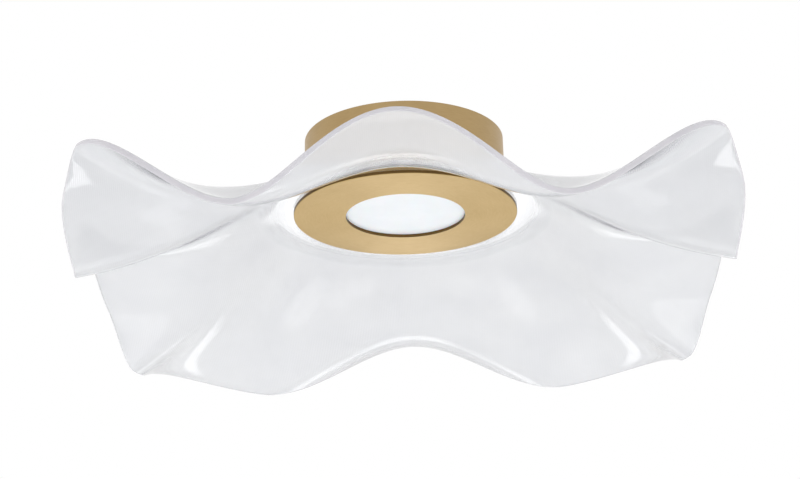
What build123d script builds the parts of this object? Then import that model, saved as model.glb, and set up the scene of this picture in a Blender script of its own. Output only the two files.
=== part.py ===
"""Ceiling light with a wavy clear skirt: every piece at its real size, in millimetres.

The origin is on the lamp's axis at the ceiling, +Z points up into the ceiling, and the lamp hangs
below it. The front of the lamp, where the skirt's highest front lobe is, faces -Y.
"""
import os
from math import atan2, cos, degrees, hypot, pi, radians, sin, tan

from build123d import *

# Drum: a spun steel canister, open against the ceiling
DRUM_RADIUS = 90.0
DRUM_DEPTH = 62.5
DRUM_WALL = 1.2
DRUM_FLOOR = 1.5
DRUM_EDGE = 1.0

# Stack under the drum, from the top down
UPPER_GASKET = 1.0
SHEET_THICKNESS = 5.0
LOWER_GASKET = 0.5
RING_THICKNESS = 3.0
GASKET_INSET = 1.0
GASKET_MARGIN = 2.0

# Trim ring and its welded studs
RING_RADIUS = 100.0
DISC_LEDGE = 2.3
RING_EDGE = 0.4
STUD_RADIUS = 2.0
STUD_CIRCLE = 76.0
STUD_COUNT = 4
STUD_CLEARANCE = 0.3
STUD_SPARE = 1.5
WASHER_RADIUS = 5.0
WASHER_THICKNESS = 1.0
NUT_ACROSS_FLATS = 7.0
NUT_HEIGHT = 3.2

# Clear sheet: rim points from the front lobe round one side to the back; the other side is mirrored.
# A larger wave power keeps a lobe's wave nearer the rim.
SHEET_FLAT = 114.5
SHEET_DROOP = 97.0
DROOP_EASE = 0.85
RIM_ANGLES = [0, 26, 57.5, 62, 70, 85, 104, 115, 136, 150.5, 180]
RIM_RADII = [303, 277, 312, 313, 292, 285, 285, 289, 345, 310, 298]
RIM_DROPS = [39, 86, 1, 35, 88, 15, 64, 106, 74, 90, 34]
WAVE_POWERS = [2.6, 2.6, 1.7, 1.7, 1.7, 2.6, 3.0, 3.0, 5.0, 3.0, 2.0]
SECTION_COUNT = 46
SECTION_POINTS = 8
SECTION_CROWDING = 1.3
SECTION_SPARE = 2.0

# Hub that goes through the sheet's hole, with its strip of edge lights
HUB_WALL = 4.0
HUB_RADIUS = 60.0
HUB_CLEARANCE = 3.0
STRIP_THICKNESS = 0.3
STRIP_WIDTH = 4.0
EDGE_LED_COUNT = 48
EDGE_LED_WIDTH = 2.8
EDGE_LED_HEIGHT = 1.6
EDGE_LED_DEPTH = 0.8
HUB_SCREW_COUNT = 3
HUB_SCREW_RADIUS = 1.25
HUB_SCREW_HEAD = 2.2
HUB_SCREW_HEAD_HEIGHT = 1.6
HUB_SCREW_REACH = 4.0
HUB_SCREW_TURN = 45.0

# Opal disc that rests on the ring inside the hub
DISC_THICKNESS = 2.0
DISC_GAP = 0.2

# Pressed pan: reflector, heat sink and mounting plate
PAN_THICKNESS = 1.2
PAN_HEIGHT = 16.0
PAN_LEDGE = 2.0
PAN_SLOPE = 6.5
PAN_MARGIN = 5.0

# Board of lights under the pan's top
BOARD_MARGIN = 3.5
BOARD_THICKNESS = 1.6
LED_WIDTH = 2.8
LED_LENGTH = 3.5
LED_HEIGHT = 0.8
LED_RINGS = [(18.0, 12), (30.0, 18), (40.0, 24)]
BOARD_SCREW_CIRCLE = 24.0
BOARD_SCREW_COUNT = 3
SCREW_RADIUS = 1.5
SCREW_HEAD_RADIUS = 2.75
SMALL_HEAD_RADIUS = 2.4
SCREW_HEAD_HEIGHT = 1.6
DRIVE_RADIUS = 1.1
DRIVE_DEPTH = 0.9
DRIVE_WIDTH = 0.6
SCREW_FIT = 0.15

# Driver, screwed to the pan's top
DRIVER_LENGTH = 70.0
DRIVER_WIDTH = 38.0
DRIVER_HEIGHT = 24.0
DRIVER_WALL = 2.0
DRIVER_CENTRE_Y = -11.0
DRIVER_SPLIT = 12.0
DRIVER_EAR = 7.0
EAR_WIDTH = 9.0
BOARD_STANDOFF = 3.0
DRIVER_BOARD = 1.6
BOARD_GAP = 0.5
CORNER = 2.0
POST_RADIUS = 2.0
POST_INSET = 4.0
TRANSFORMER_X = 4.0
TRANSFORMER_LENGTH = 18.0
TRANSFORMER_WIDTH = 16.0
TRANSFORMER_HEIGHT = 13.0
TRANSFORMER_EDGE = 1.5
CAPACITORS = [(-20.0, -4.0, 5.0, 14.0), (-20.0, 6.0, 3.2, 11.0), (22.0, -5.0, 4.0, 12.0)]
CAPACITOR_EDGE = 0.5

# Terminal block for the house's cable
BLOCK_LENGTH = 26.0
BLOCK_WIDTH = 18.0
BLOCK_HEIGHT = 14.0
BLOCK_CENTRE = (-3.0, 28.0)
BLOCK_CORNER = 1.0
POLE_PITCH = 8.5
WELL_RADIUS = 2.2
WELL_DEPTH = 2.5
TERMINAL_SCREW_RADIUS = 1.9
TERMINAL_SCREW_HEIGHT = 1.8
TERMINAL_SLOT_DEPTH = 0.8
POLE_BORE = 1.4
POLE_DEPTH = 5.0
LEAD_LEVEL = 7.0

# Insulated leads
MAINS_LEAD = 1.8
SMALL_LEAD = 1.2
LEAD_BEND = 0.45

# Earth tag and screw on the pan
TAG_CENTRE = (25.0, 32.5)
TAG_RADIUS = 3.6
TAG_THICKNESS = 0.8

# Grommets where leads go through metal
GROMMET_CENTRE = (-22.0, 27.0)
GROMMET_HOLE = 3.0
GROMMET_LIP = 1.2
GROMMET_SMALL_HOLE = 1.9
GROMMET_PLAY = 0.2

# Saddle that clamps the house's cable
SADDLE_LENGTH = 22.0
SADDLE_WIDTH = 7.0
SADDLE_HEIGHT = 7.0
SADDLE_CENTRE_Y = -37.5
SADDLE_BORE = 3.5
SADDLE_WALL = 1.5
SADDLE_HEAD_RADIUS = 2.25
SADDLE_SCREW_PITCH = 15.0

# Crossbar on the ceiling
BAR_THICKNESS = 2.0
BAR_WIDTH = 28.0
BAR_FLANGE = 14.0
BAR_BEND = 2.5
BAR_GAP = 0.1
SLOT_CENTRE = 45.0
SLOT_LENGTH = 16.0
SLOT_WIDTH = 4.5
CABLE_HOLE = 7.0
EARTH_SCREW_X = 20.0

# Set screws at the sides and their clinched bushes
SET_SCREW_RADIUS = 2.0
SET_SCREW_LEVEL = 9.0
SET_SCREW_LENGTH = 4.1
SET_SCREW_SINK = 0.4
SET_SCREW_FIT = 0.05
BUSH_RADIUS = 4.0
BUSH_INSIDE = 2.9
HEX_FLATS = 2.0
HEX_DEPTH = 2.0

# Radii worked out from the sizes above: what goes through the hub, round it and on its ledges
SHEET_HOLE = HUB_RADIUS + HUB_CLEARANCE
GASKET_INNER = SHEET_HOLE + GASKET_INSET
DISC_RADIUS = HUB_RADIUS - HUB_WALL - DISC_GAP
RING_MOUTH = DISC_RADIUS - DISC_LEDGE
PAN_MOUTH = HUB_RADIUS - HUB_WALL - PAN_LEDGE
PAN_TOP = PAN_MOUTH - PAN_SLOPE
PAN_FLANGE = DRUM_RADIUS - PAN_MARGIN
BOARD_RADIUS = PAN_TOP - BOARD_MARGIN

# Levels worked out from the sizes above, all below the ceiling
FLOOR_UNDER = -DRUM_DEPTH
FLOOR_TOP = FLOOR_UNDER + DRUM_FLOOR
SHEET_TOP = FLOOR_UNDER - UPPER_GASKET
SHEET_MIDDLE = SHEET_TOP - SHEET_THICKNESS / 2
SHEET_UNDER = SHEET_TOP - SHEET_THICKNESS
RING_TOP = SHEET_UNDER - LOWER_GASKET
FLANGE_TOP = FLOOR_TOP + PAN_THICKNESS
PAN_UNDER = FLOOR_TOP + PAN_HEIGHT - PAN_THICKNESS
PAN_UPPER = FLOOR_TOP + PAN_HEIGHT
BOARD_UNDER = PAN_UNDER - BOARD_THICKNESS
LEAD_Z = PAN_UPPER + LEAD_LEVEL
DRIVER_BACK = DRIVER_CENTRE_Y + DRIVER_WIDTH / 2
DRIVER_END = DRIVER_LENGTH / 2

# The edge leads go down beside the hub, half way round their grommet's circle
EDGE_LEAD_CIRCLE = HUB_RADIUS + STRIP_THICKNESS + SMALL_LEAD / 2 + 0.15
EDGE_LEAD_Y = DRIVER_CENTRE_Y
EDGE_LEAD_X = -(EDGE_LEAD_CIRCLE**2 - EDGE_LEAD_Y**2) ** 0.5


def place(part, name):
    """Label a finished piece and write it."""
    part.label = name
    export_step(part, f"parts/{name}.step")


def circle_places(radius, count, turn=0.0):
    """Centres of count places on a circle, as (x, y)."""
    angles = [radians(turn) + 2 * pi * i / count for i in range(count)]
    return [(radius * cos(a), radius * sin(a)) for a in angles]


def eased_rim(values, angle):
    """Value at an angle from the front, on a smooth curve that stays between its rim points."""
    turn = abs((angle + 180) % 360 - 180)
    spans = [b - a for a, b in zip(RIM_ANGLES, RIM_ANGLES[1:])]
    rises = [(b - a) / span for a, b, span in zip(values, values[1:], spans)]
    turns = [2 * p * q / (p + q) if p * q > 0 else 0.0 for p, q in zip(rises, rises[1:])]
    slopes = [0.0, *turns, 0.0]
    for i, span in enumerate(spans):
        if turn <= RIM_ANGLES[i + 1]:
            t = (turn - RIM_ANGLES[i]) / span
            start = values[i] * (1 + 2 * t) * (1 - t) ** 2 + slopes[i] * span * t * (1 - t) ** 2
            end = values[i + 1] * t * t * (3 - 2 * t) - slopes[i + 1] * span * t * t * (1 - t)
            return start + end
    return values[-1]


def sheet_level(x, y):
    """Height of the sheet's middle surface above a point of the plan."""
    radius = hypot(x, y)
    if radius <= SHEET_FLAT:
        return SHEET_MIDDLE
    angle = degrees(atan2(x, -y))
    rim = eased_rim(RIM_RADII, angle)
    reach = (radius - SHEET_FLAT) / (rim - SHEET_FLAT)
    droop = SHEET_DROOP * (1 + DROOP_EASE) * reach**1.5 / (reach**1.5 + DROOP_EASE)
    wave = (eased_rim(RIM_DROPS, angle) - SHEET_DROOP) * reach ** eased_rim(WAVE_POWERS, angle)
    return SHEET_MIDDLE - droop - wave


def sheet_normal(x, y):
    """Upward normal of the sheet's middle surface above a point of the plan."""
    step = 0.5
    slope_x = (sheet_level(x + step, y) - sheet_level(x - step, y)) / (2 * step)
    slope_y = (sheet_level(x, y + step) - sheet_level(x, y - step)) / (2 * step)
    return Vector(-slope_x, -slope_y, 1).normalized()


def sheet_section(angle):
    """Section of the sheet in the upright plane at an angle from the front."""
    across, along = sin(radians(angle)), -cos(radians(angle))
    reach = eased_rim(RIM_RADII, angle) - SHEET_FLAT
    upper = []
    lower = []
    for i in range(SECTION_POINTS + 1):
        radius = SHEET_FLAT + reach * (i / SECTION_POINTS) ** SECTION_CROWDING
        x, y = radius * across, radius * along
        lift = SHEET_THICKNESS / 2 / (sheet_normal(x, y).Z if i else 1)
        upper.append((x, y, sheet_level(x, y) + lift))
        lower.append((x, y, sheet_level(x, y) - lift))
    start = SHEET_HOLE - SECTION_SPARE
    inner_upper = (start * across, start * along, SHEET_TOP)
    inner_lower = (start * across, start * along, SHEET_UNDER)
    with BuildLine(mode=Mode.PRIVATE) as outline:
        Line(inner_lower, lower[0])
        Spline(*lower)
        Line(lower[-1], upper[-1])
        Spline(*upper[::-1])
        Line(upper[0], inner_upper)
        Line(inner_upper, inner_lower)
    return Face(outline.wires()[0])


def lead(points, diameter):
    """Tube along straight runs joined by tangent arcs."""
    spots = [Vector(*p) for p in points]
    runs = [(b - a).length for a, b in zip(spots, spots[1:])]
    radii = []
    for i in range(1, len(spots) - 1):
        turn = radians((spots[i] - spots[i - 1]).get_angle(spots[i + 1] - spots[i]))
        radii.append(LEAD_BEND * min(runs[i - 1], runs[i]) / tan(turn / 2))
    with BuildLine(mode=Mode.PRIVATE) as path:
        if radii:
            FilletPolyline(*spots, radius=radii)
        else:
            Line(*spots)
    wire = path.wires()[0]
    with BuildSketch(Plane(wire @ 0, z_dir=wire % 0), mode=Mode.PRIVATE) as section:
        Circle(diameter / 2)
    tube = sweep(section.sketch, path=wire, mode=Mode.PRIVATE)
    ratio = tube.volume / (wire.length * pi * diameter**2 / 4)
    print("lead radii", [round(r, 1) for r in radii], "volume ratio", round(ratio, 4))
    return tube


def pan_screw(x, y, seat, length, radius, head_radius, head_height, up):
    """Round-headed screw whose head sits on a plane; up is 1 where the head is above the seat."""
    with BuildPart(mode=Mode.PRIVATE) as screw:
        with BuildSketch(Plane.XY.offset(seat)):
            with Locations((x, y)):
                Circle(head_radius)
        extrude(amount=up * head_height)
        with BuildSketch(Plane.XY.offset(seat)):
            with Locations((x, y)):
                Circle(radius)
        extrude(amount=-up * length)
        with BuildSketch(Plane.XY.offset(seat + up * head_height)):
            with Locations((x, y)):
                Rectangle(2 * DRIVE_RADIUS, DRIVE_WIDTH)
                Rectangle(DRIVE_WIDTH, 2 * DRIVE_RADIUS)
        extrude(amount=-up * DRIVE_DEPTH, mode=Mode.SUBTRACT)
    return screw.part


def hex_nut(x, y, seat, flats, height, bore):
    """Plain nut that stands on a plane, bored to its screw."""
    with BuildPart(mode=Mode.PRIVATE) as nut:
        with BuildSketch(Plane.XY.offset(seat)):
            with Locations((x, y)):
                RegularPolygon(flats / 2, 6, major_radius=False)
                Circle(bore, mode=Mode.SUBTRACT)
        extrude(amount=height)
    return nut.part


def group(solids):
    """Separate solids that share one node."""
    return Compound(children=list(solids))


os.makedirs("parts", exist_ok=True)

# Places that several pieces share
STUD_PLACES = circle_places(STUD_CIRCLE, STUD_COUNT, 45)
HUB_SCREW_PLACES = circle_places(HUB_RADIUS - HUB_WALL / 2, HUB_SCREW_COUNT, HUB_SCREW_TURN)
BOARD_SCREW_PLACES = circle_places(BOARD_SCREW_CIRCLE, BOARD_SCREW_COUNT, 90)
EAR_X = DRIVER_END + DRIVER_EAR / 2
EAR_PLACES = [(EAR_X, DRIVER_CENTRE_Y), (-EAR_X, DRIVER_CENTRE_Y)]
SADDLE_PLACES = [(side * SADDLE_SCREW_PITCH / 2, SADDLE_CENTRE_Y) for side in (-1, 1)]
BLOCK_X, BLOCK_Y = BLOCK_CENTRE
POLES = [BLOCK_Y + i * POLE_PITCH for i in (-1, 0, 1)]
BLOCK_SCREW_PLACES = [(BLOCK_X, BLOCK_Y + i * POLE_PITCH / 2) for i in (-1, 1)]

# Leads: each is a list of points chosen by hand round the pieces beside it
block_side = BLOCK_X + BLOCK_WIDTH / 2 - POLE_DEPTH
NEUTRAL_ROUTE = [(block_side, POLES[0], LEAD_Z), (20, POLES[0], LEAD_Z), (20, DRIVER_BACK, LEAD_Z)]
LIVE_ROUTE = [(block_side, POLES[1], LEAD_Z), (29, POLES[1], LEAD_Z), (29, DRIVER_BACK, LEAD_Z)]
EARTH_ROUTE = [
    (block_side, POLES[2], LEAD_Z),
    (13.5, POLES[2], LEAD_Z),
    (18.5, POLES[2] - 2, PAN_UPPER + TAG_THICKNESS + MAINS_LEAD / 2 + 0.6),
    (TAG_CENTRE[0] - 3.2, TAG_CENTRE[1] + 0.6, PAN_UPPER + TAG_THICKNESS + MAINS_LEAD / 2),
]
lead_side = SMALL_LEAD / 2 + 0.05
CENTRE_ROUTES = [
    [
        (GROMMET_CENTRE[0] + side * lead_side, DRIVER_BACK, LEAD_Z + 2),
        (GROMMET_CENTRE[0] + side * lead_side, 18, LEAD_Z + 2),
        (GROMMET_CENTRE[0] + side * lead_side, GROMMET_CENTRE[1], PAN_UPPER + 2.5),
        (GROMMET_CENTRE[0] + side * lead_side, GROMMET_CENTRE[1], BOARD_UNDER),
    ]
    for side in (-1, 1)
]
EDGE_ROUTES = [
    [
        (-DRIVER_END, EDGE_LEAD_Y + side * lead_side, LEAD_Z + 8),
        (-50, EDGE_LEAD_Y + side * lead_side, LEAD_Z + 8),
        (EDGE_LEAD_X, EDGE_LEAD_Y + side * lead_side, FLANGE_TOP + 8),
        (EDGE_LEAD_X, EDGE_LEAD_Y + side * lead_side, SHEET_TOP - 1),
    ]
    for side in (-1, 1)
]

# Crossbar: a flat strap with its two ends bent down
flange_x = DRUM_RADIUS - SET_SCREW_SINK - SET_SCREW_LENGTH - BAR_GAP
with BuildPart() as ceiling_bracket:
    with BuildSketch(Plane.XZ):
        with BuildLine():
            Polyline(
                (-flange_x, -BAR_THICKNESS - BAR_FLANGE),
                (-flange_x, 0),
                (flange_x, 0),
                (flange_x, -BAR_THICKNESS - BAR_FLANGE),
                (flange_x - BAR_THICKNESS, -BAR_THICKNESS - BAR_FLANGE),
                (flange_x - BAR_THICKNESS, -BAR_THICKNESS),
                (-flange_x + BAR_THICKNESS, -BAR_THICKNESS),
                (-flange_x + BAR_THICKNESS, -BAR_THICKNESS - BAR_FLANGE),
                close=True,
            )
        make_face()
    extrude(amount=BAR_WIDTH / 2, both=True)
    upper = ceiling_bracket.edges().filter_by(Axis.Y).group_by(Axis.Z)[-1]
    fillet(upper, radius=BAR_BEND)
    along = ceiling_bracket.edges().filter_by(Axis.Y)
    inner = along.filter_by(lambda e: abs(e.center().Z + BAR_THICKNESS) < 0.01)
    fillet(inner, radius=BAR_BEND - BAR_THICKNESS)
    with BuildSketch(Plane.XY):
        with Locations((SLOT_CENTRE, 0), (-SLOT_CENTRE, 0)):
            SlotOverall(SLOT_LENGTH, SLOT_WIDTH)
        Circle(CABLE_HOLE)
        with Locations((EARTH_SCREW_X, 0)):
            Circle(SCREW_RADIUS)
    extrude(amount=-BAR_THICKNESS, mode=Mode.SUBTRACT)
place(ceiling_bracket.part, "ceiling_bracket")

bracket_earth_screw = pan_screw(
    EARTH_SCREW_X, 0, -BAR_THICKNESS, BAR_THICKNESS, SCREW_RADIUS, SCREW_HEAD_RADIUS, SCREW_HEAD_HEIGHT, -1
)
place(bracket_earth_screw, "bracket_earth_screw")

# Drum: wall and floor in one, with a light mouth and holes for studs, screws, leads and bushes
with BuildPart() as drum_housing:
    with BuildSketch(Plane.XZ):
        with BuildLine():
            Polyline(
                (PAN_MOUTH, FLOOR_UNDER),
                (DRUM_RADIUS, FLOOR_UNDER),
                (DRUM_RADIUS, 0),
                (DRUM_RADIUS - DRUM_WALL, 0),
                (DRUM_RADIUS - DRUM_WALL, FLOOR_TOP),
                (PAN_MOUTH, FLOOR_TOP),
                close=True,
            )
        make_face()
    revolve(axis=Axis.Z)
    rim = drum_housing.edges().filter_by(GeomType.CIRCLE).group_by(SortBy.RADIUS)[-1].sort_by(Axis.Z)[0]
    fillet(rim, radius=min(DRUM_EDGE, 0.8 * DRUM_WALL))
    with BuildSketch(Plane.XY.offset(FLOOR_UNDER)):
        with Locations(*STUD_PLACES):
            Circle(STUD_RADIUS + STUD_CLEARANCE)
        with Locations(*HUB_SCREW_PLACES):
            Circle(HUB_SCREW_RADIUS + SCREW_FIT)
        with Locations((EDGE_LEAD_X, EDGE_LEAD_Y)):
            Circle(GROMMET_SMALL_HOLE)
    extrude(amount=DRUM_FLOOR, mode=Mode.SUBTRACT)
    with BuildSketch(Plane.YZ.offset(-DRUM_RADIUS - 1)):
        with Locations((0, -SET_SCREW_LEVEL)):
            Circle(BUSH_RADIUS)
    extrude(amount=2 * DRUM_RADIUS + 2, mode=Mode.SUBTRACT)
place(drum_housing.part, "drum_housing")

# Set screw bushes, flush with the drum outside
bushes = []
for side in (-1, 1):
    with BuildPart() as bush:
        with BuildSketch(Plane.YZ.offset(side * (DRUM_RADIUS - DRUM_WALL - BUSH_INSIDE))):
            with Locations((0, -SET_SCREW_LEVEL)):
                Circle(BUSH_RADIUS)
                Circle(SET_SCREW_RADIUS + SET_SCREW_FIT, mode=Mode.SUBTRACT)
        extrude(amount=side * (BUSH_INSIDE + DRUM_WALL + 1))
        with BuildSketch(Plane.XY.offset(-SET_SCREW_LEVEL - BUSH_RADIUS - 1)):
            Circle(DRUM_RADIUS)
        extrude(amount=2 * BUSH_RADIUS + 2, mode=Mode.INTERSECT)
    bushes.append(bush.part)
place(group(bushes), "side_screw_bushes")

# Set screws: socket outside, flat tip just off the crossbar's flange
for side, name in ((-1, "side_screw_left"), (1, "side_screw_right")):
    outer = DRUM_RADIUS - SET_SCREW_SINK
    with BuildPart() as set_screw:
        with BuildSketch(Plane.YZ.offset(side * outer)):
            with Locations((0, -SET_SCREW_LEVEL)):
                Circle(SET_SCREW_RADIUS)
        extrude(amount=-side * SET_SCREW_LENGTH)
        with BuildSketch(Plane.YZ.offset(side * outer)):
            with Locations((0, -SET_SCREW_LEVEL)):
                RegularPolygon(HEX_FLATS / 2, 6, major_radius=False)
        extrude(amount=-side * HEX_DEPTH, mode=Mode.SUBTRACT)
    place(set_screw.part, name)

# Gaskets on both sides of the sheet
for name, top, height, outer in (
    ("upper_gasket", FLOOR_UNDER, UPPER_GASKET, DRUM_RADIUS - GASKET_MARGIN),
    ("lower_gasket", SHEET_UNDER, LOWER_GASKET, RING_RADIUS - GASKET_MARGIN),
):
    with BuildPart() as gasket:
        with BuildSketch(Plane.XY.offset(top)):
            Circle(outer)
            Circle(GASKET_INNER, mode=Mode.SUBTRACT)
            with Locations(*STUD_PLACES):
                Circle(STUD_RADIUS + STUD_CLEARANCE, mode=Mode.SUBTRACT)
        extrude(amount=-height)
    place(gasket.part, name)

# Trim ring with its studs
with BuildPart() as trim_ring:
    with BuildSketch(Plane.XY.offset(RING_TOP)):
        Circle(RING_RADIUS)
        Circle(RING_MOUTH, mode=Mode.SUBTRACT)
    extrude(amount=-RING_THICKNESS)
    chamfer(trim_ring.edges().group_by(Axis.Z)[0].sort_by(SortBy.RADIUS)[-1], length=RING_EDGE)
    with BuildSketch(Plane.XY.offset(RING_TOP)):
        with Locations(*STUD_PLACES):
            Circle(STUD_RADIUS)
    extrude(amount=FLANGE_TOP + WASHER_THICKNESS + NUT_HEIGHT + STUD_SPARE - RING_TOP)
place(trim_ring.part, "trim_ring")

washers = []
for x, y in STUD_PLACES:
    with BuildPart() as washer:
        with BuildSketch(Plane.XY.offset(FLANGE_TOP)):
            with Locations((x, y)):
                Circle(WASHER_RADIUS)
                Circle(STUD_RADIUS + STUD_CLEARANCE, mode=Mode.SUBTRACT)
        extrude(amount=WASHER_THICKNESS)
    washers.append(washer.part)
place(group(washers), "ring_washers")

nut_seat = FLANGE_TOP + WASHER_THICKNESS
nuts = [hex_nut(x, y, nut_seat, NUT_ACROSS_FLATS, NUT_HEIGHT, STUD_RADIUS) for x, y in STUD_PLACES]
place(group(nuts), "ring_nuts")

# Clear sheet: one side lofted through upright sections from front to back, then mirrored
with BuildPart() as light_sheet:
    loft([sheet_section(180 * i / (SECTION_COUNT - 1)) for i in range(SECTION_COUNT)])
    mirror(about=Plane.YZ)
    with BuildSketch(Plane.XY.offset(SHEET_UNDER - 1)):
        Circle(SHEET_HOLE)
        with Locations(*STUD_PLACES):
            Circle(STUD_RADIUS + STUD_CLEARANCE)
    extrude(amount=SHEET_THICKNESS + 2, mode=Mode.SUBTRACT)
place(light_sheet.part, "light_sheet")

# Hub through the sheet's hole
with BuildPart() as light_hub:
    with BuildSketch(Plane.XY.offset(FLOOR_UNDER)):
        Circle(HUB_RADIUS)
        Circle(HUB_RADIUS - HUB_WALL, mode=Mode.SUBTRACT)
    extrude(amount=RING_TOP - FLOOR_UNDER)
    with BuildSketch(Plane.XY.offset(FLOOR_UNDER)):
        with Locations(*HUB_SCREW_PLACES):
            Circle(HUB_SCREW_RADIUS)
    extrude(amount=-HUB_SCREW_REACH, mode=Mode.SUBTRACT)
place(light_hub.part, "light_hub")

# Strip of edge lights round the hub, level with the sheet's edge
with BuildPart() as edge_led_strip:
    with BuildSketch(Plane.XY.offset(SHEET_MIDDLE - STRIP_WIDTH / 2)):
        Circle(HUB_RADIUS + STRIP_THICKNESS)
        Circle(HUB_RADIUS, mode=Mode.SUBTRACT)
    extrude(amount=STRIP_WIDTH)
place(edge_led_strip.part, "edge_led_strip")

edge_leds = []
for i in range(EDGE_LED_COUNT):
    turn = 360 * (i + 0.5) / EDGE_LED_COUNT
    spot = Plane.XY.offset(SHEET_MIDDLE).rotated((0, 0, turn))
    with BuildPart(spot) as edge_led:
        with Locations((HUB_RADIUS + STRIP_THICKNESS + EDGE_LED_DEPTH / 2, 0)):
            Box(EDGE_LED_DEPTH, EDGE_LED_WIDTH, EDGE_LED_HEIGHT)
        with BuildSketch(Plane.XY.offset(SHEET_MIDDLE - EDGE_LED_HEIGHT)):
            Circle(HUB_RADIUS + STRIP_THICKNESS)
        extrude(amount=2 * EDGE_LED_HEIGHT, mode=Mode.SUBTRACT)
    edge_leds.append(edge_led.part)
place(group(edge_leds), "edge_leds")

hub_screws = [
    pan_screw(
        x, y, FLANGE_TOP, FLANGE_TOP - FLOOR_UNDER + HUB_SCREW_REACH, HUB_SCREW_RADIUS,
        HUB_SCREW_HEAD, HUB_SCREW_HEAD_HEIGHT, 1,
    )
    for x, y in HUB_SCREW_PLACES
]
place(group(hub_screws), "hub_screws")

# Opal disc
with BuildPart() as opal_disc:
    with BuildSketch(Plane.XY.offset(RING_TOP)):
        Circle(DISC_RADIUS)
    extrude(amount=DISC_THICKNESS)
place(opal_disc.part, "opal_disc")

# Pan: flange on the drum's floor, sloped wall and flat top
with BuildPart() as lamp_pan:
    with BuildSketch(Plane.XZ):
        with BuildLine():
            Polyline(
                (PAN_MOUTH, FLOOR_TOP),
                (PAN_FLANGE, FLOOR_TOP),
                (PAN_FLANGE, FLANGE_TOP),
                (PAN_MOUTH + PAN_THICKNESS, FLANGE_TOP),
                (PAN_TOP + PAN_THICKNESS, PAN_UPPER),
                (0, PAN_UPPER),
                (0, PAN_UNDER),
                (PAN_TOP, PAN_UNDER),
                close=True,
            )
        make_face()
    revolve(axis=Axis.Z)
    with BuildSketch(Plane.XY.offset(FLOOR_TOP)):
        with Locations(*STUD_PLACES):
            Circle(STUD_RADIUS + STUD_CLEARANCE)
        with Locations(*HUB_SCREW_PLACES):
            Circle(HUB_SCREW_RADIUS + SCREW_FIT)
        with Locations((EDGE_LEAD_X, EDGE_LEAD_Y)):
            Circle(GROMMET_SMALL_HOLE)
    extrude(amount=PAN_THICKNESS, mode=Mode.SUBTRACT)
    with BuildSketch(Plane.XY.offset(PAN_UNDER)):
        with Locations(*EAR_PLACES, *BLOCK_SCREW_PLACES, *SADDLE_PLACES, *BOARD_SCREW_PLACES, TAG_CENTRE):
            Circle(SCREW_RADIUS)
        with Locations(GROMMET_CENTRE):
            Circle(GROMMET_HOLE)
    extrude(amount=PAN_THICKNESS, mode=Mode.SUBTRACT)
place(lamp_pan.part, "lamp_pan")

# Board of lights, its lights and screws
with BuildPart() as centre_led_board:
    with BuildSketch(Plane.XY.offset(BOARD_UNDER)):
        Circle(BOARD_RADIUS)
        with Locations(*BOARD_SCREW_PLACES):
            Circle(SCREW_RADIUS + SCREW_FIT, mode=Mode.SUBTRACT)
        with Locations(*[(route[-1][0], route[-1][1]) for route in CENTRE_ROUTES]):
            Circle(SMALL_LEAD / 2, mode=Mode.SUBTRACT)
    extrude(amount=BOARD_THICKNESS)
place(centre_led_board.part, "centre_led_board")

centre_leds = []
for radius, count in LED_RINGS:
    for i in range(count):
        spot = Plane.XY.offset(BOARD_UNDER - LED_HEIGHT / 2).rotated((0, 0, 360 * (i + 0.5) / count))
        with BuildPart(spot) as led:
            with Locations((radius, 0)):
                Box(LED_LENGTH, LED_WIDTH, LED_HEIGHT)
        centre_leds.append(led.part)
place(group(centre_leds), "centre_leds")

board_screw_length = BOARD_THICKNESS + PAN_THICKNESS
board_screws = [
    pan_screw(x, y, BOARD_UNDER, board_screw_length, SCREW_RADIUS, SCREW_HEAD_RADIUS, SCREW_HEAD_HEIGHT, -1)
    for x, y in BOARD_SCREW_PLACES
]
place(group(board_screws), "led_board_screws")

# Driver: base with ears, board and its parts, and a lid
ear_span = DRIVER_LENGTH + 2 * DRIVER_EAR
driver_spot = (0, DRIVER_CENTRE_Y)
inner_length = DRIVER_LENGTH - 2 * DRIVER_WALL
inner_width = DRIVER_WIDTH - 2 * DRIVER_WALL
board_z = PAN_UPPER + DRIVER_WALL + BOARD_STANDOFF
board_top = board_z + DRIVER_BOARD
with BuildPart() as driver_base:
    with BuildSketch(Plane.XY.offset(PAN_UPPER)):
        with Locations(driver_spot):
            RectangleRounded(DRIVER_LENGTH, DRIVER_WIDTH, CORNER)
            RectangleRounded(ear_span, EAR_WIDTH, CORNER)
    extrude(amount=DRIVER_WALL)
    with BuildSketch(Plane.XY.offset(PAN_UPPER)):
        with Locations(driver_spot):
            RectangleRounded(DRIVER_LENGTH, DRIVER_WIDTH, CORNER)
    extrude(amount=DRIVER_SPLIT)
    with BuildSketch(Plane.XY.offset(PAN_UPPER + DRIVER_WALL)):
        with Locations(driver_spot):
            Rectangle(inner_length, inner_width)
    extrude(amount=DRIVER_SPLIT, mode=Mode.SUBTRACT)
    with BuildSketch(Plane.XY.offset(PAN_UPPER + DRIVER_WALL)):
        with Locations(driver_spot):
            with GridLocations(inner_length - 2 * POST_INSET, inner_width - 2 * POST_INSET, 2, 2):
                Circle(POST_RADIUS)
    extrude(amount=BOARD_STANDOFF)
    with BuildSketch(Plane.XY.offset(PAN_UPPER)):
        with Locations(*EAR_PLACES):
            Circle(SCREW_RADIUS + SCREW_FIT)
    extrude(amount=DRIVER_WALL, mode=Mode.SUBTRACT)
place(driver_base.part, "driver_base")

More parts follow.
